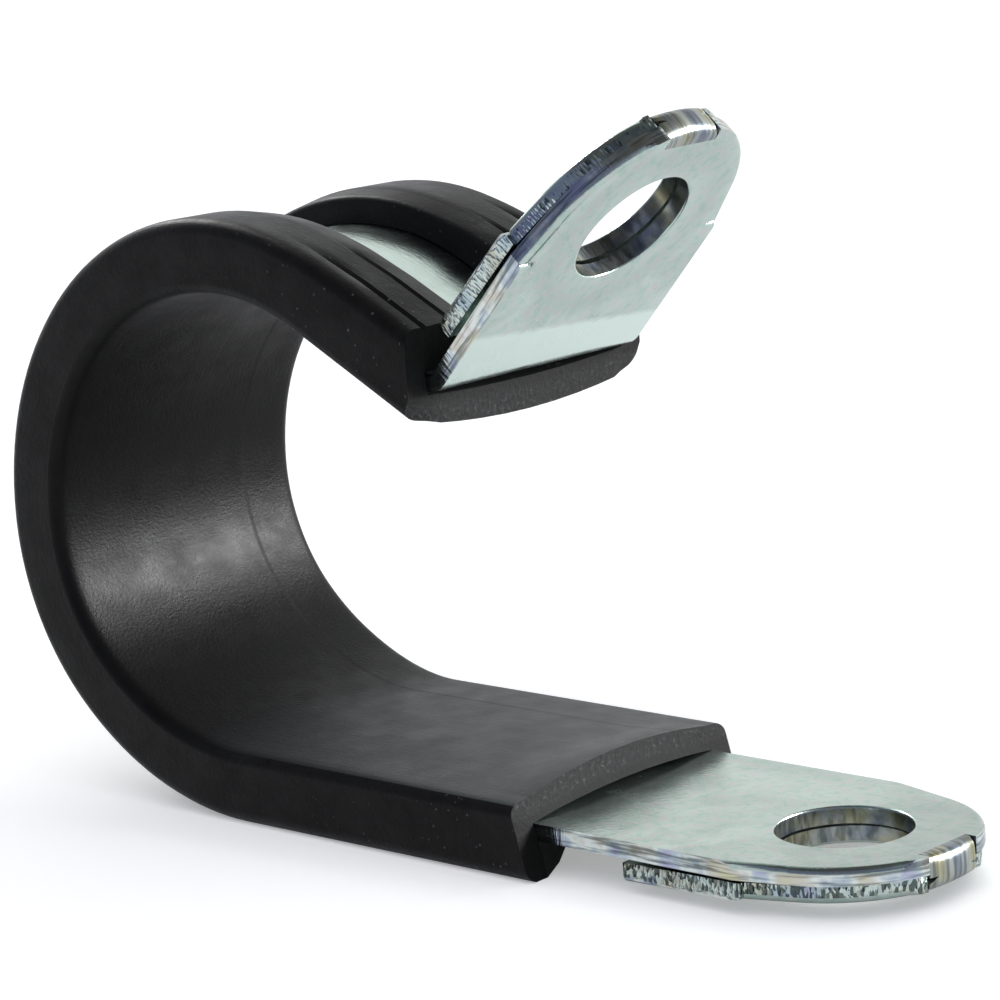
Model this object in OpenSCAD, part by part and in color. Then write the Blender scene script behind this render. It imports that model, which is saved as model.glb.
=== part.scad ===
// P clip, sprung open: one steel strip bent into a loop, with both ends folded back into
// double ears, and a rubber channel that wraps the strip all the way round the loop.
// Frame: +X along the lower ear to its tip, +Y across the strip, +Z up. The origin is on
// the lower hole's axis, at the underside of the lower ear. Millimetres.

/* [Strip] */
// Width of the steel strip
strip_width = 15; // [14.6:0.2:16]
// Thickness of the steel sheet
sheet = 1; // [0.8:0.05:1.1]
// Gap left between the two layers of the lower ear
lower_gap = 0.04; // [0.04:0.02:0.16]
// Gap left between the two layers of the upper ear
upper_gap = 0.2; // [0.04:0.02:0.24]

/* [Ears] */
// Diameter of the bolt holes
hole_diameter = 7; // [5:0.5:8]
// Radius of the punched round ends
ear_radius = 6.95; // [6.9:0.05:7.1]
// Distance from a hole's centre back to where the strip starts to taper to its round end
taper_start = 1.2; // [0.8:0.1:2]
// Distance from a hole's centre to the outside of its fold
tip_reach = 6.85; // [6.7:0.05:6.9]
// Distance from a hole's centre to the flat ends beside the fold
lug_reach = 6.62; // [6.4:0.02:6.66]
// Width of the neck that joins the two layers round the fold
neck_width = 3.74; // [2.6:0.02:3.8]
// Distance from the lower hole's centre to the end of the rubber
lower_root = 14; // [13:0.5:18]
// Distance from the lower hole's centre to the end of the folded layer
lower_lap = 8.2; // [7.5:0.1:9]
// Distance from the upper hole's centre to the bend
upper_root = 9.7; // [9:0.1:12]
// Distance from the upper hole's centre to the end of the folded layer
upper_lap = 7.6; // [7.2:0.1:7.8]

/* [Loop] */
// Straight length of the lower leg
lower_leg = 20.2; // [16:0.2:24]
// Radius of the steel's inner face where the loop leaves the lower leg
bottom_radius = 15.4; // [14:0.1:18]
// Radius of the steel's inner face at the back of the loop
back_radius = 11.8; // [10.5:0.1:13]
// Radius of the steel's inner face over the top
top_radius = 14.65; // [13:0.05:16]
// Fall of the upper leg below the horizontal, in degrees
leg_fall = 27.5; // [22:0.5:32]
// Straight length of the upper leg
upper_leg = 8; // [7:0.1:10]
// Radius of the steel's inner face at the bend into the upper ear
bend_radius = 1.5; // [1.4:0.1:2]
// Rise of the upper ear above the horizontal, in degrees
ear_rise = 47; // [40:1:55]

/* [Rubber] */
// Thickness of the rubber floor inside the strip, at mid width
floor_thickness = 1.55; // [1.3:0.05:2]
// How much thinner the floor is at its edges than at mid width
floor_crown = 0.35; // [0.2:0.05:0.5]
// How far the floor lifts off the steel at mid width, at the lower cut end
lower_lift = 0.4; // [0:0.05:0.6]
// How far the floor lifts off the steel at mid width, at the upper cut end
upper_lift = 0.25; // [0:0.05:0.6]
// Thickness of the rubber beside the strip
side_thickness = 1.5; // [1.2:0.05:2]
// Thickness of the lips outside the strip
lip_thickness = 1.75; // [1.5:0.05:2.2]
// Reach of each lip over the strip
lip_reach = 4; // [3.5:0.1:5]
// Drop of a lip from its ridge to its free edge
lip_drop = 0.35; // [0.2:0.05:0.6]
// How much the lips stand up where the upper leg squeezes them
lip_rise = 0.3; // [0:0.05:0.8]
// Depth of the creases in each squeezed lip
crease_depth = 0.25; // [0.1:0.05:0.35]
// Lean of the cut at the lower end, in degrees
lower_cut_lean = 15; // [5:1:20]
// How far each lip is cut back at its free edge, at the lower end
lip_cut_back = 2; // [0:0.1:2.2]
// How far the cut at the upper end stands beyond the bend's start
upper_cut_reach = 0.75; // [0.6:0.05:1.2]

/* [Hidden] */
$fa = 3;
$fs = 0.15;

edge = strip_width / 2;
seat_height = 2 * sheet + lower_gap;
lower_fold_radius = sheet + lower_gap / 2;
upper_fold_radius = sheet + upper_gap / 2;
// Distance from a hole's centre to where its fold begins
lower_fold_place = tip_reach - lower_fold_radius;
upper_fold_place = tip_reach - upper_fold_radius;
// Rubber's clearance from the steel, which keeps the two solids apart
clearance = 0.02;

// A route is a list of stretches. [length, 0] runs straight, and [radius, turn] bends by
// turn degrees, clockwise as seen from -Y when turn is positive. It follows the face of
// the strip that is the loop's inner face.
lower_stretch = [[lower_leg, 0]];
loop = [
    [bottom_radius, 45],
    [back_radius, 45],
    [top_radius, 90 + leg_fall],
];
upper_stretch = [[upper_leg, 0]];
bend = [bend_radius, -leg_fall - ear_rise];

liner_start = [-lower_root, seat_height, 180, 0];
liner_route = concat(lower_stretch, loop, upper_stretch);

// A place on a route is [x, z, heading, length travelled].
function moved(place, piece, share) =
    let (
        heading = place[2] - share * piece[1],
        side = piece[1] > 0 ? piece[0] : -piece[0],
        travel = piece[1] == 0 ? share * piece[0] : share * piece[0] * abs(piece[1]) * PI / 180
    )
    piece[1] == 0
        ? [place[0] + travel * cos(heading), place[1] + travel * sin(heading),
           heading, place[3] + travel]
        : [place[0] + side * (sin(place[2]) - sin(heading)),
           place[1] + side * (cos(heading) - cos(place[2])),
           heading, place[3] + travel];

function after_first(list) = [for (i = [1:1:len(list) - 1]) list[i]];
function last_of(list) = list[len(list) - 1];

// Steps that a stretch is drawn in. A small radius takes larger ones.
function steps(piece) =
    piece[1] == 0 ? ceil(piece[0] / 2.5) : ceil(abs(piece[1]) / (piece[0] > 5 ? 3.75 : 12));

function places(route, place) =
    len(route) == 0
        ? [place]
        : concat(
            [for (i = [0:1:steps(route[0]) - 1]) moved(place, route[0], i / steps(route[0]))],
            places(after_first(route), moved(place, route[0], 1))
        );

// Point beside a place, out being the distance to the outside of the loop
function beside(place, out) =
    [place[0] - out * sin(place[2]), place[1] + out * cos(place[2])];

// The strip from end to end: a flap, its neck, the long middle, and the other neck and flap
lower_flap = places([[lower_lap + lower_fold_place, 0]], [-lower_lap, 0, 0, 0]);
lower_neck = places([[lower_fold_radius, -180]], last_of(lower_flap));
middle = places(
    concat([[lower_fold_place + lower_root, 0]], liner_route, [bend, [upper_root + upper_fold_place, 0]]),
    last_of(lower_neck)
);
upper_neck = places([[upper_fold_radius, -180]], last_of(middle));
upper_flap = places([[upper_fold_place + upper_lap, 0]], last_of(upper_neck));

// The flat lugs that each layer keeps on both sides of its neck
function lug(place, length) = [place, moved(place, [length, 0], 1)];
lower_lug = lug_reach - lower_fold_place;
upper_lug = lug_reach - upper_fold_place;
lugs = [
    lug(last_of(lower_flap), lower_lug), lug(middle[0], -lower_lug),
    lug(last_of(middle), upper_lug), lug(upper_flap[0], -upper_lug),
];

// The hole's centre on the inner face of the upper ear
upper_hole = last_of(places(concat(liner_route, [bend, [upper_root, 0]]), liner_start));

// A length of the strip, bent through the places given, from one side to the other
module strip(bent, from, to) {
    rotate([90, 0, 0]) translate([0, 0, -to]) linear_extrude(to - from)
        polygon(concat(
            [for (place = bent) beside(place, 0)],
            [for (i = [len(bent) - 1:-1:0]) beside(bent[i], sheet)]
        ));
}

// What the blanking tool takes from an ear: the corners outside its tapered round end, and
// the hole
module ear_waste() {
    depth = 2 * seat_height + 2;
    tangent = atan2(edge, -taper_start) - acos(ear_radius / norm([edge, taper_start]));
    across = ear_radius * sin(tangent);
    translate([0, 0, -depth / 2]) {
        cylinder(h = depth, d = hole_diameter);
        linear_extrude(depth)
            difference() {
                translate([-taper_start, -strip_width]) square([2 * ear_radius, 2 * strip_width]);
                circle(r = ear_radius);
                polygon([
                    [-taper_start, edge], [ear_radius * cos(tangent), across],
                    [ear_radius * cos(tangent), -across], [-taper_start, -edge],
                ]);
            }
    }
}

module band() {
    color("gainsboro")
        difference() {
            union() {
                for (bent = [lower_flap, middle, upper_flap]) strip(bent, -edge, edge);
                for (bent = [lower_neck, upper_neck]) strip(bent, -neck_width / 2, neck_width / 2);
                for (bent = lugs) {
                    strip(bent, -edge, -neck_width / 2);
                    strip(bent, neck_width / 2, edge);
                }
            }
            translate([0, 0, seat_height]) ear_waste();
            translate([upper_hole[0], 0, upper_hole[1]]) rotate([0, -ear_rise, 0]) ear_waste();
        }
}

rubber_edge = edge + side_thickness;
channel_edge = edge + clearance;
floor_corner = 0.75;
lip_corner = 0.8;
crease_width = 0.2;
// Across: where a lip stops, and the ridge from which it falls to its free edge
mouth = edge - lip_reach;
ridge = edge - 0.53 * lip_reach;
// Places across the floor, as shares of the strip's half width
floor_shares = [0.75, 0.5, 0.25, 0];
lift_length = 5;
squeeze_length = 6;

liner_length = last_of(places(liner_route, liner_start))[3];

// Smooth rise from 0 to 1 as amount goes from 0 to 1
function eased(amount) = let (a = min(1, max(0, amount))) a * a * (3 - 2 * a);
function squeeze(place) =
    eased((place[3] - liner_length + upper_leg + squeeze_length / 2) / squeeze_length);
function lift(place) =
    lower_lift * eased(1 - place[3] / lift_length)
    + upper_lift * eased(1 - (liner_length - place[3]) / lift_length);

function arc(centre, radius, from, to, count) =
    [for (i = [0:1:count])
        let (angle = from + (to - from) * i / count)
        centre + radius * [sin(angle), cos(angle)]];

// Half of the channel's outside, as [out, across], from a lip's free edge to mid floor
function half_outside(squeezed, lifted) =
    let (
        top = sheet + lip_thickness + lip_rise * squeezed,
        crease = crease_depth * squeezed,
        floor_edge = floor_crown - floor_thickness
    )
    concat(
        [[top - lip_drop, mouth + 0.25]],
        [for (line = [ridge, edge])
            for (step = [-1:1:1])
                [top - (step == 0 ? crease : 0), line + step * crease_width]],
        arc([top - lip_corner, rubber_edge - lip_corner], lip_corner, 90, 0, 4),
        arc([floor_edge + floor_corner, rubber_edge - floor_corner], floor_corner, 0, -90, 4),
        [for (share = floor_shares)
            [floor_crown * pow(share * edge / rubber_edge, 2) - floor_thickness
             - lifted * (1 - share * share), share * edge]]
    );

// Half of the channel's inside, which hugs the strip
function half_inside(lifted) =
    concat(
        [[sheet + clearance, mouth], [sheet + clearance, channel_edge], [-clearance, channel_edge]],
        [for (share = floor_shares)
            [-clearance - lifted * (1 - share * share), share * edge]]
    );

// Point of the inside that each point of half the outside faces, for closing the ends
facing = [0, 0, 0, 0, 1, 1, 1, 1, 1, 1, 1, 1, 2, 2, 2, 2, 2, 3, 4, 5, 6];

function mirrored(half) = concat(
    [for (i = [0:1:len(half) - 1]) half[i]],
    [for (i = [len(half) - 2:-1:0]) [half[i][0], -half[i][1]]]
);
function mirrored_indices(half) = let (last = 2 * half[len(half) - 1]) concat(
    [for (i = [0:1:len(half) - 1]) half[i]],
    [for (i = [len(half) - 2:-1:0]) last - half[i]]
);

// How far a point of the section is drawn along the route by the slanted end cuts
function drawn(index, last, point) =
    let (
        over_strip = point[0] > sheet && abs(point[1]) < edge + 2 * clearance,
        cut_back = over_strip ? lip_cut_back * max(0, edge - abs(point[1])) / lip_reach : 0,
        cut = (upper_cut_reach - point[0] * sin(leg_fall)) / cos(leg_fall)
    )
    index == 0 ? cut_back - point[0] * tan(lower_cut_lean)
    : index < last ? 0
    : over_strip ? min(0, cut)
    : cut;

module liner() {
    stations = places(liner_route, liner_start);
    last = len(stations) - 1;
    sections = [for (place = stations)
        concat(mirrored(half_outside(squeeze(place), lift(place))), mirrored(half_inside(lift(place))))];
    outside = 2 * len(facing) - 1;
    ring = len(sections[0]);
    partner = mirrored_indices(facing);
    // Once round the section: along the outside, then back along the inside
    circuit = concat([for (i = [0:1:outside - 1]) i], [for (i = [ring - 1:-1:outside]) i]);

    points = [for (k = [0:1:last]) for (point = sections[k])
        let (at = beside(moved(stations[k], [drawn(k, last, point), 0], 1), point[0]))
        [at[0], point[1], at[1]]];
    skin = [for (k = [0:1:last - 1]) for (i = [0:1:ring - 1])
        let (
            a = k * ring + circuit[i],
            b = k * ring + circuit[(i + 1) % ring]
        )
        for (face = [[a, b, b + ring], [a, b + ring, a + ring]]) face];
    near_end = [for (i = [0:1:outside - 2])
        let (a = outside + partner[i], b = outside + partner[i + 1])
        for (face = a == b ? [[i + 1, i, a]] : [[i + 1, i, a], [i + 1, a, b]]) face];
    far_end = [for (face = near_end) [face[2], face[1], face[0]] + last * ring * [1, 1, 1]];
    color("#2b2c2c") polyhedron(points, concat(skin, near_end, far_end));
}

band();
liner();
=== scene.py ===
# A rubber-lined P clip, sprung open: a steel band and the rubber channel pushed over its edges.
# Meshes are made in millimetres, and each is brought to metres when it is finished.
import math

import bmesh
import bpy
from mathutils import Matrix, Vector


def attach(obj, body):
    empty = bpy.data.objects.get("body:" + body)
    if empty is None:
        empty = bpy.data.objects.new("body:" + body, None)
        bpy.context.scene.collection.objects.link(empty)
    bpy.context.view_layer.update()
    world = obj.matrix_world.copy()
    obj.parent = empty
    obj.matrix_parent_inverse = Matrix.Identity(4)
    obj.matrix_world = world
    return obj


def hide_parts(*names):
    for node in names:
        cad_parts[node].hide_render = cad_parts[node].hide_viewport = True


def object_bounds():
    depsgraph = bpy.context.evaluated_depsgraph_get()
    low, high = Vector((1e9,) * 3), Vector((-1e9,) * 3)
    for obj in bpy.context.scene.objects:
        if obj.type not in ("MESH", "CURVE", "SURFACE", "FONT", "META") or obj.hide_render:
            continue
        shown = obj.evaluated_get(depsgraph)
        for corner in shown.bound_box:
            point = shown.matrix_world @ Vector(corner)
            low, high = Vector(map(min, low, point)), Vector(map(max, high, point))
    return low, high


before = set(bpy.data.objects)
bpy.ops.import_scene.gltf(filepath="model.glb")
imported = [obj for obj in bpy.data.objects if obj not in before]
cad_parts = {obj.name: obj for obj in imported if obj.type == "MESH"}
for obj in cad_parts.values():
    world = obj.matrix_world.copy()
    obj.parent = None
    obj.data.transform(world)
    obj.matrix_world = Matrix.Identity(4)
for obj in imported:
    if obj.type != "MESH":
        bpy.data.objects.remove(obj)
cad_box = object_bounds()

# ---- Steel band -------------------------------------------------------------------------
# One strip of cold-rolled steel, about 1 mm thick. It is blanked and pierced flat, each end is
# folded back on itself to make a double ear, and then the strip is bent round and zinc plated.

mm = 0.001
strip_width = 15
sheet = 0.92
seat_height = 2.04
hole_diameter = 7
tip_reach = 6.85
lug_reach = 6.62
short_lug_reach = 6.15
neck_width = 3.74
slit = 0.05
lower_lap = 8.2
lower_root = 14
lower_leg = 20.2
bottom_radius = 15.4
back_radius = 11.8
top_radius = 14.65
leg_fall = 27.5
upper_leg = 8.15
bend_radius = 1.5
ear_rise = 47
upper_root = 9.7
upper_lap = 7.6

# A round end is a radius, how far behind the hole it starts to taper, and its half width there.
# The flaps, which fold over the ears, are a little smaller and start with a small step.
ear_end = (6.95, 1.2, strip_width / 2)
flap_end = (6.75, 0.7, 7.22)

# The layers meet at the fold, and stand a little apart at the free end of each folded flap
fold_radius = sheet + 0.01
fold_place = tip_reach - fold_radius
lower_spread = 0.75
upper_spread = 1.5

# Each stretch of the route is a radius, a length or turn, and how many steps it is bent in. The
# route follows the strip's inner face. A positive turn is clockwise, seen from the near side.
route = [
    (0, lower_lap + fold_place, 1),
    (fold_radius, lower_spread - 180, 14),
    (0, fold_place + lower_root + lower_leg, 1),
    (bottom_radius, 45, 18),
    (back_radius, 45, 18),
    (top_radius, 90 + leg_fall, 44),
    (0, upper_leg, 1),
    (bend_radius, -leg_fall - ear_rise, 14),
    (0, upper_root + fold_place, 1),
    (fold_radius, upper_spread - 180, 14),
    (0, fold_place + upper_lap, 1),
]
LOWER_FOLD, LOWER_LEG, LOOP, LOOP_TOP = 1, 2, 3, 5
UPPER_LEG, BEND, UPPER_EAR, UPPER_FOLD = 6, 7, 8, 9
folds = (LOWER_FOLD, UPPER_FOLD)


def travel(radius, amount):
    """Length of a stretch along the middle of the sheet, where bending doesn't change it."""
    if radius == 0:
        return amount
    return math.radians(abs(amount)) * (radius + math.copysign(sheet / 2, amount))


def step_along(place, radius, amount):
    """The place and heading that a straight or a bend leads to."""
    x, z, heading = place
    if radius == 0:
        return (x + amount * math.cos(heading), z + amount * math.sin(heading), heading)
    side = math.copysign(radius, amount)
    turned = heading - math.radians(amount)
    return (
        x + side * (math.sin(heading) - math.sin(turned)),
        z + side * (math.cos(turned) - math.cos(heading)),
        turned,
    )


# Where each stretch starts: the distance along the strip and the place it has reached. The
# strip starts at the lower flap's free end, which lies flat under the ear but for its spread.
flap_lean = math.radians(lower_spread)
flap_length = lower_lap + fold_place
flap_height = seat_height - fold_radius * (1 + math.cos(flap_lean))
flap_height -= flap_length * math.sin(flap_lean)
starts = [(0, (-lower_lap, flap_height, flap_lean))]
for radius, amount, _ in route:
    distance, place = starts[-1]
    starts.append((distance + travel(radius, amount), step_along(place, radius, amount)))
strip_length = starts[-1][0]


def formed(along, out, stretch=None):
    """Where a point of the flat strip goes, out being its distance from the inner face."""
    if stretch is None:
        stretch = 0
        while stretch < len(route) - 1 and along > starts[stretch + 1][0]:
            stretch += 1
    radius, amount, _ = route[stretch]
    distance, place = starts[stretch]
    share = (along - distance) / travel(radius, amount)
    x, z, heading = step_along(place, radius, share * amount)
    return x - out * math.sin(heading), z + out * math.cos(heading)


def bend_lines(stretch):
    """Distances along the strip at which a stretch is bent."""
    radius, amount, steps = route[stretch]
    return [starts[stretch][0] + travel(radius, amount) * step / steps for step in range(steps)]


def add_box(name, low, high):
    bpy.ops.object.select_all(action="DESELECT")
    middle = [(a + b) / 2 for a, b in zip(low, high)]
    size = [b - a for a, b in zip(low, high)]
    bpy.ops.mesh.primitive_cube_add(size=1, location=middle, scale=size)
    box = bpy.context.object
    box.name = name
    bpy.ops.object.transform_apply(location=True, rotation=True, scale=True)
    return box


def cut_away(piece, cutter):
    """Subtracts the cutter from the piece and throws the cutter away."""
    bpy.ops.object.select_all(action="DESELECT")
    bpy.context.view_layer.objects.active = piece
    piece.select_set(True)
    bpy.ops.object.modifier_add(type="BOOLEAN")
    cut = piece.modifiers[-1]
    cut.operation = "DIFFERENCE"
    cut.solver = "EXACT"
    cut.object = cutter
    bpy.ops.object.modifier_apply(modifier=cut.name)
    bpy.data.objects.remove(cutter)


def notch(piece, along, across, name):
    """Cuts a rectangle right through the strip, between two places along it and two across."""
    near_x, far_x = sorted(along)
    near_y, far_y = sorted(across)
    cut_away(piece, add_box(name, (near_x, near_y, -sheet), (far_x, far_y, 2 * sheet)))


def add_drill(along, radius):
    bpy.ops.object.select_all(action="DESELECT")
    bpy.ops.mesh.primitive_cylinder_add(
        vertices=128, radius=radius, depth=4 * sheet, location=(along, 0, sheet / 2)
    )
    return bpy.context.object


def pick(piece, kind, test):
    """Selects the faces, given middle and normal, or edges, given two ends, that pass a test."""
    bpy.ops.mesh.select_mode(type=kind)
    bpy.ops.mesh.select_all(action="DESELECT")
    mesh = bmesh.from_edit_mesh(piece.data)
    if kind == "FACE":
        for face in mesh.faces:
            face.select_set(test(face.calc_center_median(), face.normal))
    else:
        for line in mesh.edges:
            line.select_set(test(line.verts[0].co, line.verts[1].co))
    bmesh.update_edit_mesh(piece.data)


def cut_across(places, axis):
    """Cuts the whole mesh with planes square to an axis."""
    for place in places:
        bpy.ops.mesh.select_all(action="SELECT")
        bpy.ops.mesh.bisect(plane_co=Vector(axis) * place, plane_no=axis, threshold=1e-5)


def punch_round_end(hole, side, radius, taper_start, shoulder):
    """Cuts off the corners outside a round end, which tapers from the shoulder to its circle."""
    corner = math.atan2(shoulder, -taper_start)
    tangent = corner - math.acos(radius / math.hypot(shoulder, taper_start))
    x_start, x_tangent, x_end = (
        hole + side * reach for reach in (-taper_start, radius * math.cos(tangent), lug_reach)
    )
    waste = add_box(
        "waste",
        (min(x_start, x_end), -strip_width, -sheet),
        (max(x_start, x_end), strip_width, 2 * sheet),
    )
    cut_away(waste, add_drill(hole, radius))
    taper = add_box(
        "taper",
        (min(x_start, x_tangent), -shoulder, -2 * sheet),
        (max(x_start, x_tangent), shoulder, 3 * sheet),
    )
    bpy.ops.object.mode_set(mode="EDIT")
    pick(taper, "FACE", lambda middle, normal: normal.x * side > 0.9)
    narrowing = radius * math.sin(tangent) / shoulder
    bpy.ops.transform.resize(value=(1, narrowing, 1), center_override=(x_tangent, 0, 0))
    bpy.ops.object.mode_set(mode="OBJECT")
    cut_away(waste, taper)
    cut_away(band, waste)


band = add_box("steel_band", (0, -strip_width / 2, 0), (strip_length, strip_width / 2, sheet))
hole_places = []
for fold in folds:
    flap_side = 1 if fold == LOWER_FOLD else -1
    before_fold = (starts[fold][0] - fold_place, 1)
    after_fold = (starts[fold + 1][0] + fold_place, -1)
    for hole, side in (before_fold, after_fold):
        hole_places.append(hole)
        cut_away(band, add_drill(hole, hole_diameter / 2))
        punch_round_end(hole, side, *(flap_end if side == flap_side else ear_end))
lower_flap_hole, lower_ear_hole, upper_ear_hole, upper_flap_hole = hole_places

# The flaps' lugs are cut short on the far side, where the fold has drawn them in
overcut = 0.02
for hole, side in ((lower_flap_hole, 1), (upper_flap_hole, -1)):
    lug = (hole + side * short_lug_reach, hole + side * (lug_reach + overcut))
    notch(band, lug, (neck_width / 2, strip_width / 2), "short_lug")

# A slot on each side of the neck parts the lugs of the two layers
fold_middles = [(starts[fold][0] + starts[fold + 1][0]) / 2 for fold in folds]
for hole, fold_middle in zip((lower_flap_hole, upper_ear_hole), fold_middles):
    slot = fold_middle - hole - lug_reach
    for side in (1, -1):
        beside_neck = (side * (neck_width / 2 + slit / 2), side * strip_width)
        notch(band, (fold_middle - slot, fold_middle + slot), beside_neck, "slot")

# Shearing rolls the rim over on the side where the punch goes in, most of all round the ends
# and less at the holes. The mill's straight edges and the other side's rims stay sharp, and so
# do the rims near a fold's middle, further on the far side where the lugs are cut short.
rim_width = 0.34
hole_rim_share = 0.38
near_rim_stop = 0.3
far_rim_stop = 0.7
end_rim_reach = 7.6


def from_nearest_hole(point):
    return min((point.x - hole) ** 2 + point.y**2 for hole in hole_places) ** 0.5


def on_round_end(point):
    return (
        hole_diameter / 2 + 0.5 < from_nearest_hole(point) < end_rim_reach
        and abs(point.y) < strip_width / 2 - 0.05
    )


def by_a_hole(point):
    return abs(point.y) < hole_diameter / 2 + 0.1 and not on_round_end(point)


def on_rim(point):
    """Whether a corner of the strip lies on the punch's side and clear of the folds' middles."""
    rim_stop = far_rim_stop if point.y > 0 else near_rim_stop
    return abs(point.z) < 1e-4 and min(abs(point.x - m) for m in fold_middles) > rim_stop


bpy.ops.object.mode_set(mode="EDIT")
for share, test in ((1, on_round_end), (hole_rim_share, by_a_hole)):
    pick(band, "EDGE", lambda a, b: test((a + b) / 2) and on_rim(a) and on_rim(b))
    # Only the sharp lines are rims
    mesh = bmesh.from_edit_mesh(band.data)
    for line in mesh.edges:
        if line.select and line.calc_face_angle(0) < math.radians(40):
            line.select_set(False)
    bmesh.update_edit_mesh(band.data)
    bpy.ops.transform.edge_bevelweight(value=share)
bpy.ops.object.mode_set(mode="OBJECT")
bpy.ops.object.modifier_add(type="BEVEL")
rolled = band.modifiers[-1]
rolled.limit_method = "WEIGHT"
rolled.width = rim_width
rolled.segments = 5
rolled.use_clamp_overlap = False
bpy.ops.object.modifier_apply(modifier=rolled.name)

# Beside each neck, a slit frees the lugs
for fold in folds:
    for side in (1, -1):
        beside_neck = (side * neck_width / 2, side * (neck_width / 2 + slit))
        notch(band, (starts[fold][0], starts[fold + 1][0]), beside_neck, "slit")

# Lines across the strip, where it bends, and along it, so that the necks can be crowned
crown_lines = (-1.3, -0.7, 0, 0.7, 1.3)
bpy.ops.object.mode_set(mode="EDIT")
for stretch in range(len(route)):
    cut_across([place for place in bend_lines(stretch) if place > 0], (1, 0, 0))
cut_across(crown_lines, (0, 1, 0))
bpy.ops.object.mode_set(mode="OBJECT")

# Three finishes: the rolled faces with their rolled-over rims, the sheared edges, and the steel
# that a tool has drawn tight, in the holes' walls and over the necks
over_neck = 0.74


def sheared(middle, normal):
    return abs(normal.z) < 0.15


def drawn_tight(middle, normal):
    in_hole = sheared(middle, normal) and from_nearest_hole(middle) < hole_diameter / 2 + 0.1
    on_neck = abs(middle.y) < neck_width / 2 + 0.01
    return in_hole or on_neck and min(abs(middle.x - m) for m in fold_middles) < over_neck


for number in range(3):
    bpy.ops.object.material_slot_add()
bpy.ops.object.mode_set(mode="EDIT")
for number, test in ((1, sheared), (2, drawn_tight)):
    pick(band, "FACE", test)
    band.active_material_index = number
    bpy.ops.object.material_slot_assign()
bpy.ops.object.mode_set(mode="OBJECT")

neck_crown = 0.26
pressed_square = 0.6
sprung_by = 0.25
sprung_start_length = 9
sprung_end_length = 12
sprung_past_bend = 4


def eased(amount):
    """Smooth rise from 0 to 1 as amount goes from 0 to 1."""
    amount = min(1, max(0, amount))
    return amount * amount * (3 - 2 * amount)


def sprung(along, across):
    """How far the loop has sprung inwards at its far side, which leaves it slightly conical."""
    begun = eased((along - starts[LOOP][0]) / sprung_start_length)
    left = eased((starts[BEND][0] + sprung_past_bend - along) / sprung_end_length)
    return sprung_by * begun * left * (0.5 + across / strip_width)


def pressed_neck(fold, across, x, z):
    """Flattens a neck's bend towards a square, as the press does, and crowns it."""
    fold_x, fold_z, heading = starts[fold][1]
    ahead = Vector((math.cos(heading), math.sin(heading)))
    up = Vector((-math.sin(heading), math.cos(heading)))
    middle = Vector((fold_x, fold_z)) + up * fold_radius
    spoke = Vector((x, z)) - middle
    length = max(1e-6, spoke.length)
    forward, sideways = max(0, spoke.dot(ahead)) / length, spoke.dot(up) / length
    forward = forward**pressed_square
    sideways = math.copysign(abs(sideways) ** pressed_square, sideways)
    crown = neck_crown * (2 * across / neck_width) ** 2
    return middle + length * (forward * ahead + sideways * up) - crown * forward * ahead


# The flat shape is kept as an attribute, in millimetres, which every finish follows
flat = band.data.attributes.new("flat", "FLOAT_VECTOR", "POINT")
for vertex in band.data.vertices:
    along, across, out = vertex.co
    flat.data[vertex.index].vector = vertex.co
    out -= sprung(along, across)
    stretch = None
    neck = None
    for fold in folds:
        fold_start, fold_end = starts[fold][0], starts[fold + 1][0]
        if not fold_start < along < fold_end:
            continue
        if abs(across) > neck_width / 2 + slit / 2:
            # A lug stays as flat as the layer that it belongs to
            stretch = fold - 1 if along < (fold_start + fold_end) / 2 else fold + 1
        else:
            neck = fold
    x, z = formed(along, out, stretch)
    if neck is not None:
        x, z = pressed_neck(neck, across, x, z)
    vertex.co = (x, across, z)


def finish_piece(piece, smooth_angle):
    """Brings a piece to metres, shades it and makes it ride on the clip."""
    piece.data.transform(Matrix.Scale(mm, 4))
    bpy.ops.object.select_all(action="DESELECT")
    bpy.context.view_layer.objects.active = piece
    piece.select_set(True)
    bpy.ops.object.shade_smooth_by_angle(angle=math.radians(smooth_angle))
    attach(piece, "root")


def srgb(code):
    """Linear colour from an sRGB hex value."""
    parts = [int(code[i : i + 2], 16) / 255 for i in (1, 3, 5)]
    return [c / 12.92 if c <= 0.04045 else ((c + 0.055) / 1.055) ** 2.4 for c in parts] + [1]


def feed(node, inputs):
    """Sets a node's inputs, each to a number, a colour, an output, or a node's first output."""
    for key, value in inputs.items():
        if isinstance(value, bpy.types.Node):
            value = value.outputs[0]
        if isinstance(value, bpy.types.NodeSocket):
            node.id_data.links.new(value, node.inputs[key])
        else:
            node.inputs[key].default_value = value


def add_node(material, kind, inputs, stops=(), **settings):
    """Adds a node with its inputs and settings. Stops are a colour ramp's places and colours."""
    node = material.node_tree.nodes.new(kind)
    for key, value in settings.items():
        setattr(node, key, value)
    feed(node, inputs)
    if stops:
        elements = node.color_ramp.elements
        elements[1].position = stops[-1][0]
        elements[0].position = stops[0][0]
        for place, _ in stops[1:-1]:
            elements.new(place)
        for element, (_, colour) in zip(elements, stops):
            element.color = srgb(colour)
    return node


def new_material(name):
    material = bpy.data.materials.new(name)
    material.use_nodes = True
    return material, material.node_tree.nodes["Principled BSDF"]


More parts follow.
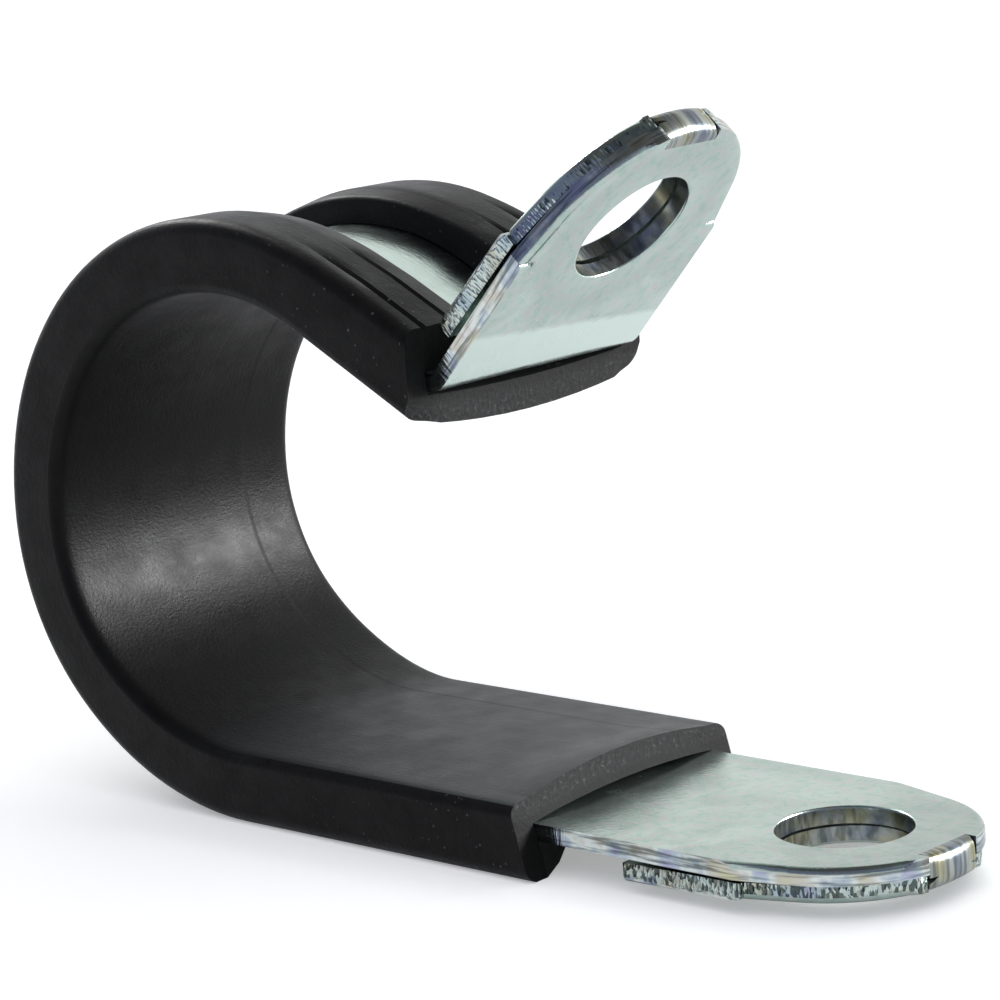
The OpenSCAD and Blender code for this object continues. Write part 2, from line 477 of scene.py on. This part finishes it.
# Cold-rolled steel with a bright zinc coat: a cool light grey with a silky shine. The plating
# gives it soft clouds a few millimetres across and a mottle of green and pink under 1 mm.
zinc, shader = new_material("bright zinc-plated rolled steel")
place = add_node(zinc, "ShaderNodeAttribute", {}, attribute_name="flat").outputs["Vector"]
mottle = add_node(
    zinc, "ShaderNodeTexNoise", {"Vector": place, "Scale": 1.5, "Detail": 4, "Roughness": 0.65}
)
tint = add_node(
    zinc,
    "ShaderNodeValToRGB",
    {"Fac": mottle},
    stops=((0.38, "#b2c9c0"), (0.5, "#c0d1ca"), (0.62, "#c6cac8")),
)
clouds = add_node(
    zinc, "ShaderNodeTexNoise", {"Vector": place, "Scale": 0.35, "Detail": 3, "Distortion": 0.6}
)
cloud_shade = add_node(
    zinc, "ShaderNodeValToRGB", {"Fac": clouds}, stops=((0.32, "#ededed"), (0.62, "#ffffff"))
)
clouded = add_node(
    zinc,
    "ShaderNodeMixRGB",
    {"Fac": 1, "Color1": tint, "Color2": cloud_shade},
    blend_type="MULTIPLY",
)

# The press left a shallow dent round the upper hole, which isn't modelled: its shade is painted as
# a darker ring
from_hole = add_node(
    zinc, "ShaderNodeVectorMath", {0: place, 1: (upper_ear_hole, 0, 0)}, operation="DISTANCE"
).outputs["Value"]
ring = add_node(
    zinc, "ShaderNodeMapRange", {"Value": from_hole, "From Min": hole_diameter / 2, "From Max": 8}
)
painted_dent_shade = add_node(
    zinc,
    "ShaderNodeValToRGB",
    {"Fac": ring},
    stops=(
        (0, "#f6f6f6"),
        (0.4, "#dcdedd"),
        (0.55, "#e6e8e7"),
        (0.66, "#fafafa"),
        (0.85, "#ffffff"),
    ),
)
with_painted_dent_shade = add_node(
    zinc,
    "ShaderNodeMixRGB",
    {"Fac": clouds, "Color1": clouded, "Color2": painted_dent_shade},
    blend_type="MULTIPLY",
)

# A painted highlight lightens the steel beside the bend, over the upper leg and the root of the
# upper ear, and ends in a wavering and slightly skewed edge
painted_highlight_reach = 2.7
skewed = add_node(
    zinc, "ShaderNodeVectorMath", {0: place, 1: (1, 0.087, 0)}, operation="DOT_PRODUCT"
).outputs["Value"]
wavering = add_node(
    zinc, "ShaderNodeMath", {0: mottle, 1: 0.5, 2: skewed}, operation="MULTIPLY_ADD"
)
before_band_end = add_node(
    zinc,
    "ShaderNodeMapRange",
    {
        "Value": wavering,
        "From Min": starts[UPPER_EAR][0] + painted_highlight_reach + 0.4,
        "From Max": starts[UPPER_EAR][0] + painted_highlight_reach,
    },
)
along = add_node(zinc, "ShaderNodeSeparateXYZ", {"Vector": place}).outputs["X"]
past_loop_top = add_node(
    zinc,
    "ShaderNodeMapRange",
    {"Value": along, "From Min": starts[LOOP_TOP][0] + 12, "From Max": starts[UPPER_LEG][0]},
)
in_painted_highlight = add_node(
    zinc, "ShaderNodeMath", {0: before_band_end, 1: past_loop_top}, operation="MULTIPLY"
)
highlighted = add_node(
    zinc, "ShaderNodeMixRGB", {"Fac": in_painted_highlight, "Color1": with_painted_dent_shade, "Color2": srgb("#d5e6df")}
)

# The lower ear is painted darker towards its tip, as a painted dark reflection
painted_dark_reflection = add_node(
    zinc,
    "ShaderNodeMapRange",
    {
        "Value": along,
        "From Min": starts[LOWER_LEG][0] + 1,
        "From Max": starts[LOWER_LEG][0] + 10,
        "To Min": 0.3,
        "To Max": 0,
    },
)
plated = add_node(
    zinc, "ShaderNodeMixRGB", {"Fac": painted_dark_reflection, "Color1": highlighted, "Color2": srgb("#5f6664")}
)
dulling = add_node(
    zinc,
    "ShaderNodeMapRange",
    {"Value": clouds, "From Min": 0.3, "From Max": 0.7, "To Min": 0.3, "To Max": 0.19},
)

# The rolling grain is finer than this on the real sheet, and is drawn as coarse as it needs to show
rolled_along = add_node(
    zinc, "ShaderNodeVectorMath", {0: place, 1: (0.25, 5, 1)}, operation="MULTIPLY"
)
grain = add_node(zinc, "ShaderNodeTexNoise", {"Vector": rolled_along, "Scale": 1, "Detail": 3})
grain_bump = add_node(
    zinc, "ShaderNodeBump", {"Strength": 0.5, "Distance": 0.012 * mm, "Height": grain}
)
peel = add_node(zinc, "ShaderNodeTexNoise", {"Vector": place, "Scale": 3.2, "Detail": 3})
peel_bump = add_node(
    zinc,
    "ShaderNodeBump",
    {"Strength": 0.6, "Distance": 0.02 * mm, "Height": peel, "Normal": grain_bump},
)
feed(shader, {"Metallic": 1, "Base Color": plated, "Roughness": dulling, "Normal": peel_bump})
band.data.materials[0] = zinc

# The sheared edge under its zinc: smooth and streaked where the punch cut it, then torn into
# small bright facets, with the blue, violet and olive tints of the passivated coat.
shear, shader = new_material("sheared edge of zinc-plated steel")
place = add_node(shear, "ShaderNodeAttribute", {}, attribute_name="flat").outputs["Vector"]
parts = add_node(shear, "ShaderNodeSeparateXYZ", {"Vector": place}).outputs
wander = add_node(shear, "ShaderNodeTexNoise", {"Vector": place, "Scale": 1.1, "Detail": 3})
torn_depth = add_node(
    shear, "ShaderNodeMath", {0: wander, 1: 0.8, 2: parts["Z"]}, operation="MULTIPLY_ADD"
)
deep = add_node(
    shear, "ShaderNodeMapRange", {"Value": torn_depth, "From Min": 0.5, "From Max": 0.6}
)
# Only the flaps, at the strip's two ends, are torn. The rest was sheared by a sharper tool.
between_folds = sum(fold_middles) / 2
half_between_folds = (fold_middles[1] - fold_middles[0]) / 2
offset = add_node(shear, "ShaderNodeMath", {0: parts["X"], 1: between_folds}, operation="SUBTRACT")
offset = add_node(shear, "ShaderNodeMath", {0: offset}, operation="ABSOLUTE")
on_flap = add_node(
    shear, "ShaderNodeMath", {0: offset, 1: half_between_folds}, operation="GREATER_THAN"
)
torn = add_node(shear, "ShaderNodeMath", {0: deep, 1: on_flap}, operation="MULTIPLY")
coat = add_node(
    shear, "ShaderNodeTexNoise", {"Vector": place, "Scale": 0.4, "Detail": 3, "Roughness": 0.6}
)
coat_tint = add_node(
    shear,
    "ShaderNodeValToRGB",
    {"Fac": coat},
    stops=(
        (0.34, "#b3b6cf"),
        (0.42, "#b9c7d2"),
        (0.5, "#dbe3df"),
        (0.58, "#cbcac4"),
        (0.66, "#cccbae"),
    ),
)
# The burnished part is drawn out in lines along the edge
lined = add_node(
    shear, "ShaderNodeVectorMath", {0: place, 1: (0.35, 0.35, 5.5)}, operation="MULTIPLY"
)
lines = add_node(shear, "ShaderNodeTexNoise", {"Vector": lined, "Scale": 1, "Detail": 3})
line_shade = add_node(
    shear, "ShaderNodeValToRGB", {"Fac": lines}, stops=((0.38, "#9a9e9e"), (0.55, "#ffffff"))
)
burnished = add_node(
    shear,
    "ShaderNodeMixRGB",
    {"Fac": 1, "Color1": coat_tint, "Color2": line_shade},
    blend_type="MULTIPLY",
)
# The torn facets are 0.1 to 0.4 mm across and lie at a slant, as the crack ran. They are
# shallower on the upper flap than on the lower one, and painted brighter there as a painted
# highlight.
slanted = add_node(
    shear,
    "ShaderNodeMapping",
    {"Vector": place, "Rotation": (0, 0.7, 0), "Scale": (6.5, 6.5, 2.6)},
)
facets = add_node(shear, "ShaderNodeTexVoronoi", {"Vector": slanted, "Scale": 1})
on_upper = add_node(
    shear, "ShaderNodeMath", {0: parts["X"], 1: strip_length / 2}, operation="GREATER_THAN"
)
relief = add_node(shear, "ShaderNodeMath", {0: on_upper, 1: -0.65, 2: 1}, operation="MULTIPLY_ADD")
relief = add_node(shear, "ShaderNodeMath", {0: torn, 1: relief}, operation="MULTIPLY")
facet_height = add_node(shear, "ShaderNodeMath", {0: facets, 1: relief}, operation="MULTIPLY")
streaked = add_node(
    shear, "ShaderNodeVectorMath", {0: place, 1: (5, 5, 0.5)}, operation="MULTIPLY"
)
streaks = add_node(shear, "ShaderNodeTexNoise", {"Vector": streaked, "Scale": 1, "Detail": 2})
streak_bump = add_node(
    shear, "ShaderNodeBump", {"Strength": 0.6, "Distance": 0.04 * mm, "Height": streaks}
)
facet_bump = add_node(
    shear,
    "ShaderNodeBump",
    {"Strength": 1, "Distance": 0.11 * mm, "Height": facet_height, "Normal": streak_bump},
)
# Painted highlight: the upper flap's facets are painted brighter
facets_painted_brighter = add_node(
    shear,
    "ShaderNodeMath",
    {0: on_upper, 1: 0.3, 2: facets.outputs["Color"]},
    operation="MULTIPLY_ADD",
)
facet_shade = add_node(
    shear, "ShaderNodeValToRGB", {"Fac": facets_painted_brighter}, stops=((0.4, "#727c79"), (0.56, "#eaf1ec"))
)
torn_coat = add_node(
    shear,
    "ShaderNodeMixRGB",
    {"Fac": 1, "Color1": coat_tint, "Color2": facet_shade},
    blend_type="MULTIPLY",
)
edge_colour = add_node(
    shear, "ShaderNodeMixRGB", {"Fac": torn, "Color1": burnished, "Color2": torn_coat}
)
feed(shader, {"Metallic": 1, "Base Color": edge_colour, "Roughness": 0.16, "Normal": facet_bump})
band.data.materials[1] = shear

# Drawn tight over the die's edge, the coat is burnished, with an olive tint, and fine lines run
# the way the steel was pulled. Its colour is also painted darker: painted shade in the holes'
# walls, and a painted dark reflection over the necks.
drawn, shader = new_material("drawn and burnished zinc-plated steel")
place = add_node(drawn, "ShaderNodeAttribute", {}, attribute_name="flat").outputs["Vector"]
burnish = add_node(drawn, "ShaderNodeTexNoise", {"Vector": place, "Scale": 0.7, "Detail": 3})
burnish_tint_and_painted_shade = add_node(
    drawn,
    "ShaderNodeValToRGB",
    {"Fac": burnish},
    stops=((0.35, "#7f8794"), (0.5, "#a4aaa8"), (0.65, "#a9a78b")),
)
pulled = add_node(
    drawn, "ShaderNodeVectorMath", {0: place, 1: (0.8, 3.5, 0.8)}, operation="MULTIPLY"
)
pull_lines = add_node(drawn, "ShaderNodeTexNoise", {"Vector": pulled, "Scale": 1, "Detail": 3})
pull_shade = add_node(
    drawn, "ShaderNodeValToRGB", {"Fac": pull_lines}, stops=((0.4, "#b4b7b7"), (0.58, "#ffffff"))
)
burnish_lined = add_node(
    drawn,
    "ShaderNodeMixRGB",
    {"Fac": 1, "Color1": burnish_tint_and_painted_shade, "Color2": pull_shade},
    blend_type="MULTIPLY",
)
pull_bump = add_node(
    drawn, "ShaderNodeBump", {"Strength": 0.5, "Distance": 0.02 * mm, "Height": pull_lines}
)
feed(shader, {"Metallic": 1, "Base Color": burnish_lined, "Roughness": 0.27, "Normal": pull_bump})
band.data.materials[2] = drawn

finish_piece(band, 35)
bpy.ops.object.modifier_add(type="WEIGHTED_NORMAL")
band.modifiers[-1].keep_sharp = True
bpy.ops.object.modifier_apply(modifier=band.modifiers[-1].name)
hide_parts("band")

# ---- Rubber liner -----------------------------------------------------------------------
# One length of extruded EPDM channel, cut to length and pushed over the strip's edges from
# inside the loop. Its floor lines the loop, and its two lips lie on the strip's outside.

floor_thickness = 1.55
floor_crown = 0.35
floor_corner = 0.75
side_thickness = 1.5
lip_thickness = 1.86
lip_reach = 4
lip_corner = 0.8
mouth_corner = 0.35
mouth_inner_corner = 0.12
lip_drop = 0.35
lip_rise = 0.3
crease_depth = 0.25
crease_width = 0.22
squeeze_length = 6
lower_lift = 0.4
upper_lift = 0.25
lift_length = 5
lower_cut_lean = 15
lower_cut_skew = 0.75
lower_cut_length = 4
lip_cut_back = 2
upper_cut_reach = 0.6
upper_cut_length = 2
worn_corner = 0.7
clearance = 0.02

liner_start = starts[LOOP][0] - lower_leg
liner_end = starts[BEND][0]
liner_length = liner_end - liner_start
edge = strip_width / 2
rubber_edge = edge + side_thickness
wall_inside = edge + clearance
mouth = edge - lip_reach
lip_top = sheet + lip_thickness

low_corner = (0, -rubber_edge, -floor_thickness)
liner = add_box("rubber_liner", low_corner, (liner_length, rubber_edge, -clearance))
bpy.ops.object.mode_set(mode="EDIT")


def both(places):
    return [side * place for place in places for side in (1, -1)]


# Walls up from the floor's borders, and lips inwards from the tops of the walls
cut_across(both([wall_inside]), (0, 1, 0))
for height in (sheet + 2 * clearance, lip_thickness - clearance):
    pick(liner, "FACE", lambda middle, normal: normal.z > 0.9 and abs(middle.y) > wall_inside)
    bpy.ops.mesh.extrude_region_move(TRANSFORM_OT_translate={"value": (0, 0, height)})
for side in (1, -1):
    pick(
        liner,
        "FACE",
        lambda middle, normal: normal.y * side < -0.9
        and middle.y * side > 0
        and middle.z > sheet + clearance,
    )
    inwards = (0, side * (mouth - wall_inside), 0)
    bpy.ops.mesh.extrude_region_move(TRANSFORM_OT_translate={"value": inwards})


def round_long_edges(across, out, radius, steps):
    """Rounds the two edges that run the liner's length at this place in its section."""
    pick(
        liner,
        "EDGE",
        lambda a, b: all(abs(abs(v.y) - across) < 1e-3 and abs(v.z - out) < 1e-3 for v in (a, b)),
    )
    bpy.ops.mesh.bevel(offset=radius, segments=steps, affect="EDGES")


round_long_edges(rubber_edge, lip_top, lip_corner, 6)
round_long_edges(rubber_edge, -floor_thickness, floor_corner, 5)
round_long_edges(mouth, lip_top, mouth_corner, 4)
round_long_edges(mouth, sheet + clearance, mouth_inner_corner, 2)

# Lines along the liner, where its floor is crowned and where its lips crease
ridge = edge - 0.53 * lip_reach
creases = (ridge, edge)
cut_across(both([edge / 4, edge / 2, edge * 3 / 4, edge * 0.9]) + [0], (0, 1, 0))
for crease in creases:
    cut_across(both([crease - crease_width, crease, crease + crease_width]), (0, 1, 0))
cut_across([-0.5 * floor_thickness], (0, 0, 1))

# Lines across the liner, where it bends and close together near its cut ends
end_lines = [0.25, 0.5, 0.8, 1.2, 1.7, 2.4, 3.2, 4.2, 5.4]
cut_across(end_lines + [liner_length - line for line in end_lines], (1, 0, 0))
for stretch in range(LOOP, UPPER_LEG):
    places = bend_lines(stretch) + [starts[stretch + 1][0]]
    cut_across([place - liner_start for place in places], (1, 0, 0))

# The skin from the die is one finish and the cut ends another
for number in range(2):
    bpy.ops.object.material_slot_add()
pick(liner, "FACE", lambda middle, normal: abs(normal.x) > 0.9)
liner.active_material_index = 1
bpy.ops.object.material_slot_assign()
bpy.ops.object.mode_set(mode="OBJECT")


def section(along, across, out):
    """How far out a point goes as the floor is crowned and lifts, and the lips fall and crease."""
    from_end = liner_length - along
    squeeze = eased(1 - (from_end - upper_leg + squeeze_length / 2) / squeeze_length)
    if out < 0.5 * sheet and abs(across) < wall_inside + 0.3:
        lift = lower_lift * eased(1 - along / lift_length)
        lift += upper_lift * eased(1 - from_end / lift_length)
        out -= lift * (1 - min(1, abs(across) / edge) ** 2)
    if out < -0.3 * floor_thickness:
        out += floor_crown * (across / rubber_edge) ** 2 * min(1, -out / floor_thickness)
    if out > sheet + 0.5 * lip_thickness:
        out -= lip_drop * max(0, (ridge - abs(across)) / (ridge - mouth))
        for crease in creases:
            out -= crease_depth * squeeze * max(0, 1 - abs(abs(across) - crease) / crease_width)
        out += lip_rise * squeeze
    return out


def slanted_cuts(along, across, out):
    """How far along a point goes, as each slanted cut draws the liner's end along with it."""
    from_end = liner_length - along
    if along < lower_cut_length:
        shift = lower_cut_skew * (1 + across / rubber_edge) / 2
        shift -= out * math.tan(math.radians(lower_cut_lean))
        if out > sheet:
            shift += lip_cut_back * max(0, edge - abs(across)) / lip_reach
        along += shift * (1 - along / lower_cut_length)
    if from_end < upper_cut_length:
        fall = math.radians(leg_fall)
        reach = (upper_cut_reach - out * math.sin(fall)) / math.cos(fall)
        if out > sheet and abs(across) < wall_inside + clearance:
            reach = min(0, reach)
        # The cut has worn the corners of the floor round
        outermost = max(0, abs(across) / rubber_edge - 0.75) * 4
        reach -= worn_corner * outermost * max(0, -out / floor_thickness)
        along += reach * (1 - from_end / upper_cut_length)
    return along


# The liner follows the strip's route, from the lower leg to the bend
flat = liner.data.attributes.new("flat", "FLOAT_VECTOR", "POINT")
for vertex in liner.data.vertices:
    along, across, out = vertex.co
    flat.data[vertex.index].vector = vertex.co
    out = section(along, across, out)
    distance = liner_start + slanted_cuts(along, across, out)
    out -= sprung(distance, across)
    stretch = LOWER_LEG
    while stretch < UPPER_LEG and distance > starts[stretch + 1][0]:
        stretch += 1
    x, z = formed(distance, out, stretch)
    vertex.co = (x, across, z)

# Black EPDM straight from the die: matt, with a soft uneven sheen, faint lines along its length,
# a fine grain, and pale dust that settles near the cut ends.
rubber, shader = new_material("extruded EPDM rubber")
place = add_node(rubber, "ShaderNodeAttribute", {}, attribute_name="flat").outputs["Vector"]
parts = add_node(rubber, "ShaderNodeSeparateXYZ", {"Vector": place}).outputs
bloom = add_node(
    rubber, "ShaderNodeTexNoise", {"Vector": place, "Scale": 0.5, "Detail": 5, "Roughness": 0.62}
)
body = add_node(
    rubber, "ShaderNodeValToRGB", {"Fac": bloom}, stops=((0.35, "#0c0c0c"), (0.65, "#151515"))
)
dullness = add_node(
    rubber,
    "ShaderNodeMapRange",
    {"Value": bloom, "From Min": 0.32, "From Max": 0.68, "To Min": 0.5, "To Max": 0.35},
)
# One line runs the whole length, where the die had a nick
nick_place = 5
nick_half_width = 0.14
on_nick = add_node(
    rubber,
    "ShaderNodeMath",
    {0: parts["Y"], 1: nick_place, 2: nick_half_width},
    operation="COMPARE",
)
dullness = add_node(
    rubber, "ShaderNodeMath", {0: on_nick, 1: 0.12, 2: dullness}, operation="MULTIPLY_ADD"
)
along_die = add_node(
    rubber, "ShaderNodeVectorMath", {0: place, 1: (0.05, 2.2, 2.2)}, operation="MULTIPLY"
)
die_lines = add_node(rubber, "ShaderNodeTexNoise", {"Vector": along_die, "Scale": 1, "Detail": 3})
line_bump = add_node(
    rubber, "ShaderNodeBump", {"Strength": 0.5, "Distance": 0.015 * mm, "Height": die_lines}
)
fine = add_node(
    rubber, "ShaderNodeTexNoise", {"Vector": place, "Scale": 4.5, "Detail": 4, "Roughness": 0.7}
)
fine_bump = add_node(
    rubber,
    "ShaderNodeBump",
    {"Strength": 0.7, "Distance": 0.04 * mm, "Height": fine, "Normal": line_bump},
)
# Specks of dust, 0.1 to 0.2 mm across, from none 18 mm from a cut to most at 3 mm from it
specks = add_node(rubber, "ShaderNodeTexVoronoi", {"Vector": place, "Scale": 1.6})
speck_shade = add_node(
    rubber,
    "ShaderNodeMapRange",
    {"Value": specks, "From Min": 0.14, "From Max": 0.04, "To Max": 0.4},
)
offset = add_node(
    rubber, "ShaderNodeMath", {0: parts["X"], 1: liner_length / 2}, operation="SUBTRACT"
)
offset = add_node(rubber, "ShaderNodeMath", {0: offset}, operation="ABSOLUTE")
near_cuts = add_node(
    rubber,
    "ShaderNodeMapRange",
    {"Value": offset, "From Min": liner_length / 2 - 18, "From Max": liner_length / 2 - 3},
)
dust = add_node(rubber, "ShaderNodeMath", {0: speck_shade, 1: near_cuts}, operation="MULTIPLY")
dusted = add_node(
    rubber, "ShaderNodeMixRGB", {"Fac": dust, "Color1": body, "Color2": srgb("#7d7f80")}
)
# The floor of the lower leg is greyer towards its end: settled dust, and a painted sheen on the
# floor's inner face
leg_dust_and_sheen = add_node(
    rubber,
    "ShaderNodeMapRange",
    {"Value": parts["X"], "From Min": 24, "From Max": 5, "To Max": 0.85},
)
on_floor = add_node(
    rubber, "ShaderNodeMath", {0: parts["Z"], 1: 0.1 - floor_thickness}, operation="LESS_THAN"
)
dust_and_sheen = add_node(rubber, "ShaderNodeMath", {0: leg_dust_and_sheen, 1: on_floor}, operation="MULTIPLY")
with_dust_and_sheen = add_node(
    rubber, "ShaderNodeMixRGB", {"Fac": dust_and_sheen, "Color1": dusted, "Color2": srgb("#484c4a")}
)
feed(
    shader,
    {
        "Base Color": with_dust_and_sheen,
        "Roughness": dullness,
        "Specular IOR Level": 0.1,
        "Sheen Weight": 0.2,
        "Sheen Roughness": 0.35,
        "Normal": fine_bump,
    },
)
liner.data.materials[0] = rubber

# The cut faces were torn as much as cut: greyer and grainy, with pale filler showing as specks
cut_rubber, shader = new_material("cut EPDM rubber")
place = add_node(cut_rubber, "ShaderNodeAttribute", {}, attribute_name="flat").outputs["Vector"]
crumb = add_node(
    cut_rubber, "ShaderNodeTexNoise", {"Vector": place, "Scale": 3.5, "Detail": 5, "Roughness": 0.7}
)
crumb_shade = add_node(
    cut_rubber,
    "ShaderNodeValToRGB",
    {"Fac": crumb},
    stops=((0.38, "#121212"), (0.58, "#292a2a"), (0.7, "#707271")),
)
# Next to the steel the cut face is painted dark, as painted shade of the narrow gap it lies in
height = add_node(cut_rubber, "ShaderNodeSeparateXYZ", {"Vector": place}).outputs["Z"]
ragged_height = add_node(
    cut_rubber, "ShaderNodeMath", {0: crumb, 1: 0.35, 2: height}, operation="MULTIPLY_ADD"
)
painted_gap_shade = add_node(
    cut_rubber,
    "ShaderNodeMapRange",
    {"Value": ragged_height, "From Min": -0.5, "From Max": -0.15},
)
cut_colour = add_node(
    cut_rubber, "ShaderNodeMixRGB", {"Fac": painted_gap_shade, "Color1": crumb_shade, "Color2": srgb("#0a0a0a")}
)
crumb_bump = add_node(
    cut_rubber, "ShaderNodeBump", {"Strength": 1, "Distance": 0.1 * mm, "Height": crumb}
)
feed(
    shader,
    {
        "Base Color": cut_colour,
        "Roughness": 0.75,
        "Specular IOR Level": 0.2,
        "Normal": crumb_bump,
    },
)
liner.data.materials[1] = cut_rubber

finish_piece(liner, 40)
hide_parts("liner")

# ---- Studio -----------------------------------------------------------------------------
# A pale paper floor under the clip, a backdrop and a dim room for the steel to mirror, one large
# soft lamp with two small ones for the rubber's sheen, and the camera.

bpy.ops.object.select_all(action="DESELECT")
bpy.ops.mesh.primitive_plane_add(size=4, location=(0, 0, cad_box[0][2]))
floor = bpy.context.object
floor.name = "floor"
paper, shader = new_material("white paper floor")
# What the camera sees of the paper is lifted to white, and the clip's shadow stays on it
rays = add_node(paper, "ShaderNodeLightPath", {}).outputs
seen = rays["Is Camera Ray"]
for ray in ("Is Glossy Ray", "Is Transmission Ray"):
    seen = add_node(paper, "ShaderNodeMath", {0: seen, 1: rays[ray]}, operation="MAXIMUM")
lift = add_node(paper, "ShaderNodeMath", {0: seen, 1: 0.12}, operation="MULTIPLY")
lift = add_node(
    paper, "ShaderNodeMath", {0: rays["Is Camera Ray"], 1: 0.2, 2: lift}, operation="MULTIPLY_ADD"
)
feed(
    shader,
    {
        "Base Color": srgb("#f4f4f4"),
        "Roughness": 0.9,
        "Specular IOR Level": 0,
        "Emission Color": (1, 1, 1, 1),
        "Emission Strength": lift,
    },
)
floor.data.materials.append(paper)

# The room: a low white backdrop behind and to the left, dark above it and in front
world = bpy.data.worlds.new("studio")
bpy.context.scene.world = world
world.use_nodes = True
towards = add_node(world, "ShaderNodeTexCoord", {}).outputs["Generated"]
height = add_node(world, "ShaderNodeSeparateXYZ", {"Vector": towards}).outputs["Z"]
low = add_node(
    world,
    "ShaderNodeMapRange",
    {"Value": height, "From Min": 0.8, "From Max": 0.67},
    interpolation_type="SMOOTHSTEP",
)
behind = add_node(
    world, "ShaderNodeVectorMath", {0: towards, 1: (-0.55, 0.83, 0)}, operation="DOT_PRODUCT"
).outputs["Value"]
round_the_back = add_node(
    world,
    "ShaderNodeMapRange",
    {"Value": behind, "From Min": 0.15, "From Max": 0.5},
    interpolation_type="SMOOTHSTEP",
)
backdrop = add_node(world, "ShaderNodeMath", {0: low, 1: round_the_back}, operation="MULTIPLY")
room = add_node(
    world,
    "ShaderNodeMixRGB",
    {"Fac": low, "Color1": srgb("#555656"), "Color2": srgb("#7b7f96")},
)
lit_room = add_node(
    world, "ShaderNodeMixRGB", {"Fac": backdrop, "Color1": room, "Color2": srgb("#eef0ef")}
)
# The camera sees white all round, and mirrors see the backdrop nearer to white
rays = add_node(world, "ShaderNodeLightPath", {}).outputs
mirrored = add_node(
    world,
    "ShaderNodeMath",
    {0: rays["Is Glossy Ray"], 1: rays["Is Transmission Ray"]},
    operation="MAXIMUM",
)
whitened = add_node(world, "ShaderNodeMath", {0: mirrored, 1: backdrop}, operation="MULTIPLY")
whitened = add_node(world, "ShaderNodeMath", {0: whitened, 1: 0.4}, operation="MULTIPLY")
whitened = add_node(
    world, "ShaderNodeMath", {0: rays["Is Camera Ray"], 1: whitened}, operation="MAXIMUM"
)
shown = add_node(
    world, "ShaderNodeMixRGB", {"Fac": whitened, "Color1": lit_room, "Color2": (1, 1, 1, 1)}
)
feed(world.node_tree.nodes["Background"], {"Color": shown})


def add_lamp(place, size, power):
    """Adds a square lamp that faces the clip."""
    bpy.ops.object.select_all(action="DESELECT")
    facing = Vector(place).to_track_quat("Z", "Y").to_euler()
    bpy.ops.object.light_add(type="AREA", location=place, rotation=facing)
    lamp = bpy.context.object
    lamp.data.size = size
    lamp.data.energy = power
    return lamp


# One very large soft lamp overhead, which the steel doesn't mirror
softbox = add_lamp((0, 0, 1.6), 4, 47)
softbox.visible_glossy = False

# Two small lamps for the rubber's sheen, seen only in reflections: low before the loop's mouth, and
# over its top
mouth_glint = add_lamp((0.46, 0.49, 0.28), 0.24, 19)
top_glint = add_lamp((-0.6, 0.2, 0.46), 0.15, 2.5)
for glint in (mouth_glint, top_glint):
    glint.visible_diffuse = False

# Camera: seen from the near right and a little above, with a long lens
aim = Vector((-16.78, -5.47, 18.19)) * mm
azimuth = 43.3156
elevation = 11.8258
roll = -3.9534
distance = 195.59 * mm
turn = (
    Matrix.Rotation(math.radians(azimuth), 4, "Z")
    @ Matrix.Rotation(math.radians(90 - elevation), 4, "X")
    @ Matrix.Rotation(math.radians(roll), 4, "Z")
)
bpy.ops.object.select_all(action="DESELECT")
bpy.ops.object.camera_add()
camera = bpy.context.object
camera.matrix_world = Matrix.Translation(aim) @ turn @ Matrix.Translation((0, 0, distance))
camera.data.lens = 138.76
camera.data.sensor_width = 36
camera.data.clip_start = 0.01
bpy.context.scene.camera = camera

bpy.context.scene.view_settings.view_transform = "Standard"
